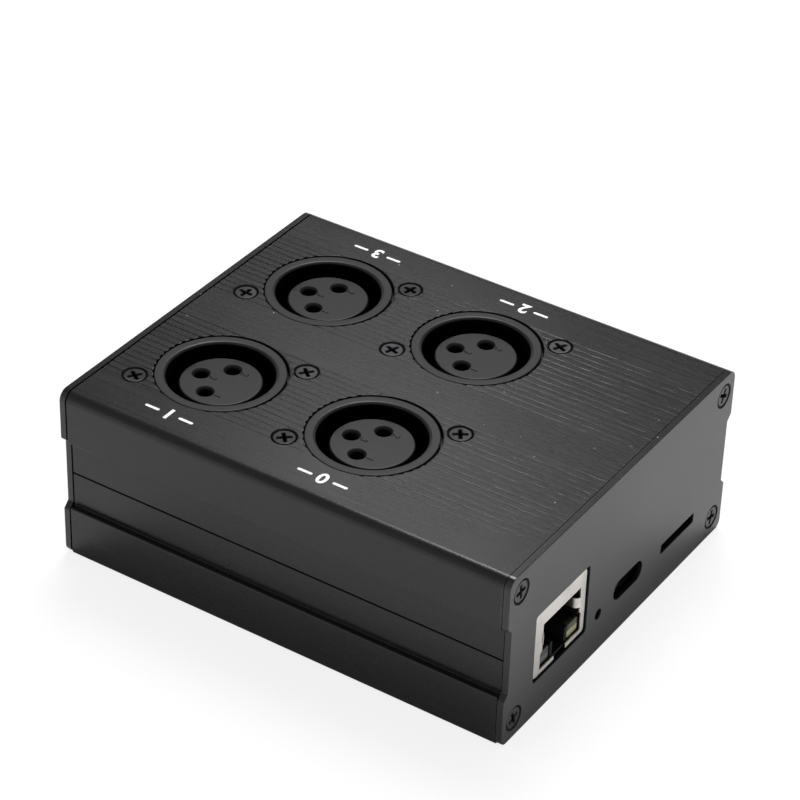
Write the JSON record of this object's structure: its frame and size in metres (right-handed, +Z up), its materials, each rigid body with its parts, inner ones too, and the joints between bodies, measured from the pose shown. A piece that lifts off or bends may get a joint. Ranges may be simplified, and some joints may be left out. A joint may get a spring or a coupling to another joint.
{
  "type": "network to stage lighting interface box",
  "caption": "Slim split extruded box with round three-pole locking-size sockets on its roof and a network jack, pinhole, stadium slot and card slot in one end plate.",
  "frame": {"origin": "middle of the base's footprint, on the surface that the box stands on", "axes": "+X along the extrusion towards the end plate with the network jack, +Z up through the roof with the round sockets, +Y across the box, away from the row of sockets 0 and 1"},
  "size_m": [0.0926, 0.076, 0.035],
  "materials": {
    "case": "fine-bead black anodised extrusion, satin",
    "end_plates": "black anodised sheet, satin",
    "screws": "blackened steel, worn bright in the cross recess",
    "sockets": "black glass-filled nylon, finely pitted",
    "contacts": "plated brass",
    "board": "green solder resist",
    "chips": "black moulding compound",
    "shields": "tin-plated sheet steel, satin bright",
    "inner_plastic": "black moulded plastic",
    "green_lens": "milky clear lamp window, greenish",
    "yellow_lens": "milky clear lamp window, yellowish",
    "button": "off-white moulded plastic"
  },
  "bodies": {
    "case": {"top_cover": "case", "bottom_cover": "case", "connector_end_plate": "end_plates", "blank_end_plate": "end_plates", "connector_plate_screw_0": "screws", "blank_plate_screw_0": "screws", "connector_plate_screw_1": "screws", "blank_plate_screw_1": "screws", "connector_plate_screw_2": "screws", "blank_plate_screw_2": "screws", "connector_plate_screw_3": "screws", "blank_plate_screw_3": "screws", "socket_0_housing": "sockets", "socket_0_insert": "sockets", "socket_0_contact_1": "contacts", "socket_0_contact_2": "contacts", "socket_0_contact_3": "contacts", "socket_0_screw_a": "screws", "socket_0_screw_b": "screws", "socket_1_housing": "sockets", "socket_1_insert": "sockets", "socket_1_contact_1": "contacts", "socket_1_contact_2": "contacts", "socket_1_contact_3": "contacts", "socket_1_screw_a": "screws", "socket_1_screw_b": "screws", "socket_2_housing": "sockets", "socket_2_insert": "sockets", "socket_2_contact_1": "contacts", "socket_2_contact_2": "contacts", "socket_2_contact_3": "contacts", "socket_2_screw_a": "screws", "socket_2_screw_b": "screws", "socket_3_housing": "sockets", "socket_3_insert": "sockets", "socket_3_contact_1": "contacts", "socket_3_contact_2": "contacts", "socket_3_contact_3": "contacts", "socket_3_screw_a": "screws", "socket_3_screw_b": "screws", "main_board": "board", "processor": "chips", "memory_chip": "chips", "ethernet_chip": "chips", "power_inductor": "chips", "bus_driver_0": "chips", "bus_driver_1": "chips", "bus_driver_2": "chips", "bus_driver_3": "chips", "rj45_shield": "shields", "usb_shell": "shields", "card_socket": "shields", "rj45_housing": "inner_plastic", "usb_tongue": "inner_plastic", "reset_switch_body": "inner_plastic", "rj45_contact_block": "contacts", "rj45_led_left": "green_lens", "rj45_led_right": "yellow_lens"},
    "button": {"reset_button": "button"}
  },
  "joints": [
    {"name": "reset_press", "type": "slide", "parent": "case", "child": "button", "axis": [-1, 0, 0], "range_m": [0, 0.00025], "stiffness_N_per_m": 2000}
  ]
}
